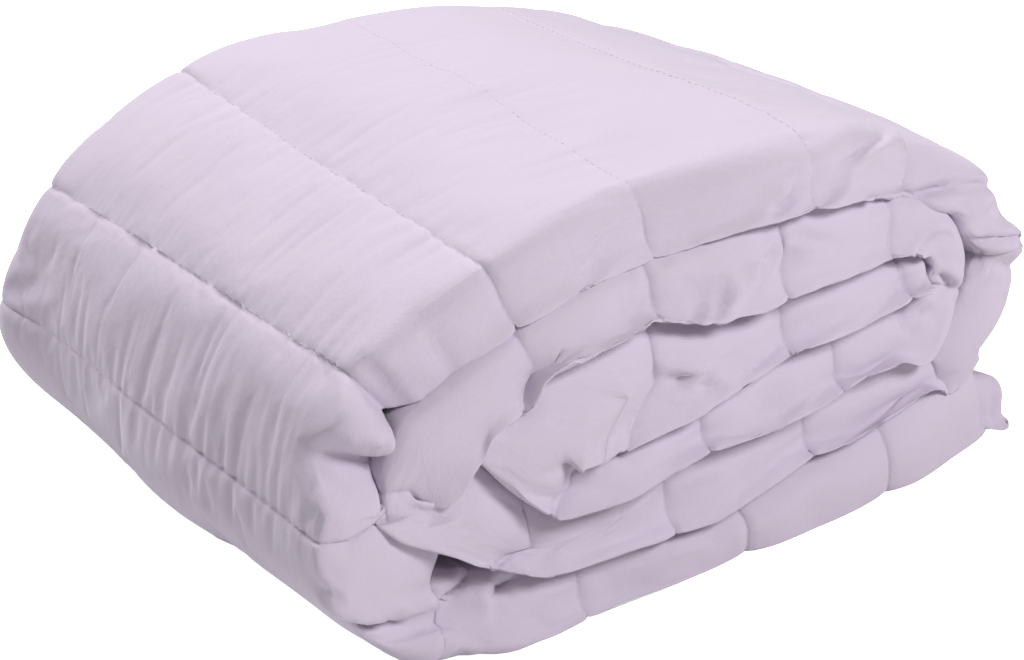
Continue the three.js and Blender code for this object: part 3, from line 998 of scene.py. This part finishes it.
def makeCotton(name, look, creased):
    # cotton cloth, or its thread where it isn't creased
    material = bpy.data.materials.new(name)
    material.use_nodes = True
    tree = material.node_tree
    shader = tree.nodes["Principled BSDF"]
    place = tree.nodes.new("ShaderNodeAttribute")
    place.attribute_name = "clothPlace"
    threads, colour = addGroup(tree, weave, place), addGroup(tree, tint, place)
    threads.inputs["Pitch"].default_value = look["pitch"]
    colour.inputs["Light"].default_value = look["light"]
    colour.inputs["Deep"].default_value = look["deep"]
    tree.links.new(colour.outputs["Color"], shader.inputs["Base Color"])
    tree.links.new(colour.outputs["Roughness"], shader.inputs["Roughness"])
    threadBump = addBump(tree, threads, look["bump"])
    if creased:
        split = tree.nodes.new("ShaderNodeSeparateXYZ")
        tree.links.new(place.outputs["Vector"], split.inputs[0])
        folds = addGroup(tree, creasing, place)
        tree.links.new(split.outputs["Z"], folds.inputs["Strength"])
        foldBump = addBump(tree, folds, look["bump"])
        tree.links.new(foldBump.outputs["Normal"], threadBump.inputs["Normal"])
    tree.links.new(threadBump.outputs["Normal"], shader.inputs["Normal"])
    shader.inputs["Sheen Weight"].default_value = look["sheen"]
    shader.inputs["Sheen Roughness"].default_value = look["sheenRoughness"]
    shader.inputs["Specular IOR Level"].default_value = look["specular"]
    return material


mesh.materials.append(makeCotton("lilacCotton", clothLook, True))
print("cotton made")

# Stitches of the seams, in millimetres
stitching = {
    "length": 2.6,
    "pitch": 3.8,
    "radius": 0.2,
    "first": 0.5,  # from the start of a seam to its first stitch
    "lift": -0.03,  # above the bottom of the seam's groove
    "sides": 6,
    "sideWidth": 0.3,  # of the thread's texture on each side
    "rings": [(0.0, 0.35), (0.18, 1.0), (0.82, 1.0), (1.0, 0.35)],  # share of the length, of the radius
    "hiddenSteps": 2,  # steps of the near folded edge that lie too far under for a stitch
}


def sewingLines():
    # point numbers along every seam, where it can be seen
    lines = []
    start = stitching["hiddenSteps"]
    for (stations, grid), number in zip(parts, numbers):
        face, back, inner, isOpen = sectionMarks(grid)
        onSeam = (stations["rows"] == stations["nearestSeam"]) & (stations["rows"] < channelCount)
        for ring in number[onSeam & (seams["sewn"] > 0)[stations["nearestSeam"]]]:
            lines += [ring[start:inner]] if isOpen else [ring[start:face + 1], ring[back:inner]]
    return lines


def stitchFaces():
    # faces of one stitch, closed at both ends
    sides, last = stitching["sides"], (len(stitching["rings"]) - 1) * stitching["sides"]
    faces = []
    for ring in range(0, last, sides):
        for k in range(sides):
            a, b = ring + k, ring + (k + 1) % sides
            faces.append([a, b, b + sides, a + sides])
    return faces + [list(range(sides))[::-1], list(range(last, last + sides))]


def makeStitches():
    normals = np.empty(len(points) * 3)
    mesh.vertices.foreach_get("normal", normals)
    normals = normals.reshape(-1, 3)
    shares, sizes = np.array(stitching["rings"]).T
    length, radius = stitching["length"] * mm, (sizes * stitching["radius"] * mm)[:, None, None]
    side = np.arange(stitching["sides"])
    angle = 2 * np.pi * side[:, None] / stitching["sides"]
    faceList = stitchFaces()
    rings, faces, places = [], [], []
    for line in sewingLines():
        path, up = points[line], normals[line]
        run = np.concatenate([[0], np.cumsum(np.linalg.norm(np.diff(path, axis=0), axis=1))])
        for start in np.arange(stitching["first"] * mm, run[-1] - length, stitching["pitch"] * mm):
            at = start + shares * length
            middle, rise = (np.stack([np.interp(at, run, values[:, k]) for k in range(3)], axis=1)
                            for values in (path, up))
            if middle[:, 2].min() < floorContact * mm:
                continue
            beside = np.cross(np.gradient(middle, axis=0), rise)
            beside /= np.linalg.norm(beside, axis=1)[:, None]
            middle = middle + rise * stitching["lift"] * mm
            outward = np.cos(angle) * beside[:, None] + np.sin(angle) * rise[:, None]
            base = len(rings) * len(sizes) * stitching["sides"]
            rings.append(middle[:, None] + radius * outward)
            faces += [[base + k for k in face] for face in faceList]
            place = np.broadcast_arrays(at[:, None], side * stitching["sideWidth"] * mm, 0.0)
            places.append(np.stack(place, axis=2))
    thread = makeMesh("seamStitches", np.concatenate(rings).reshape(-1, 3), faces)
    setClothPlace(thread, np.concatenate(places))
    thread.materials.append(makeCotton("lilacThread", threadLook, False))
    return addObject("seamStitches", thread)


stitches = makeStitches()
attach(stitches, "root")
print("stitches made:", len(stitches.data.polygons), "faces")

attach(duvet, "root")
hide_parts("duvet")

floorLook = {"reach": 6, "grey": (0.9, 0.9, 0.9, 1), "roughness": 0.9}  # reach in metres


def makeFloor():
    # grey in the light, and white to the camera
    reach = floorLook["reach"]
    corners = [(-reach, -reach, 0), (reach, -reach, 0), (reach, reach, 0), (-reach, reach, 0)]
    plane = bpy.data.meshes.new("floor")
    plane.from_pydata(corners, [], [(0, 1, 2, 3)])
    paint = bpy.data.materials.new("paleFloor")
    paint.use_nodes = True
    shader = paint.node_tree.nodes["Principled BSDF"]
    shader.inputs["Base Color"].default_value = floorLook["grey"]
    shader.inputs["Roughness"].default_value = floorLook["roughness"]
    shader.inputs["Emission Color"].default_value = (1, 1, 1, 1)
    lightPath = paint.node_tree.nodes.new("ShaderNodeLightPath")
    paint.node_tree.links.new(lightPath.outputs["Is Camera Ray"], shader.inputs["Emission Strength"])
    plane.materials.append(paint)
    return addObject("floor", plane)


floor = makeFloor()

# The camera stands where the photo was taken from: angles in degrees, place in millimetres
view = {
    "azimuth": -35.4,
    "elevation": 28.0,
    "place": (-460.3, -647.4, 472.0),
    "focalPixels": 2127,
    "imageWidth": 1024,
    "sensor": 36,
}


def lookAlong(thing, direction):
    thing.rotation_euler = direction.to_track_quat("-Z", "Y").to_euler()


cameraData = bpy.data.cameras.new("photoCamera")
cameraData.sensor_width = view["sensor"]
cameraData.lens = view["focalPixels"] * view["sensor"] / view["imageWidth"]
camera = addObject("photoCamera", cameraData)
azimuth, elevation = math.radians(view["azimuth"]), math.radians(view["elevation"])
forward = Vector((-math.sin(azimuth) * math.cos(elevation), math.cos(azimuth) * math.cos(elevation),
                  -math.sin(elevation)))
camera.location = Vector(view["place"]) * mm
lookAlong(camera, forward)
bpy.context.scene.camera = camera

# Soft studio light, in metres
lamps = {
    "key": {"place": (-0.3, 1.3, 1.65), "size": 0.8, "watts": 39},
    "front": {"place": (0.5, -1.4, 1.45), "size": 0.6, "watts": 28},
}
lampTarget = Vector((0, 0, 0.08))
studioStrength = 0.16
for name, lamp in lamps.items():
    light = bpy.data.lights.new(name, "AREA")
    light.size = lamp["size"]
    light.energy = lamp["watts"]
    lampObject = addObject(name, light)
    lampObject.location = lamp["place"]
    lookAlong(lampObject, lampTarget - lampObject.location)
world = bpy.data.worlds.new("studio")
world.use_nodes = True
world.node_tree.nodes["Background"].inputs["Color"].default_value = (1, 1, 1, 1)
world.node_tree.nodes["Background"].inputs["Strength"].default_value = studioStrength
bpy.context.scene.world = world
bpy.context.scene.view_settings.view_transform = "Standard"
print("camera and light ready")
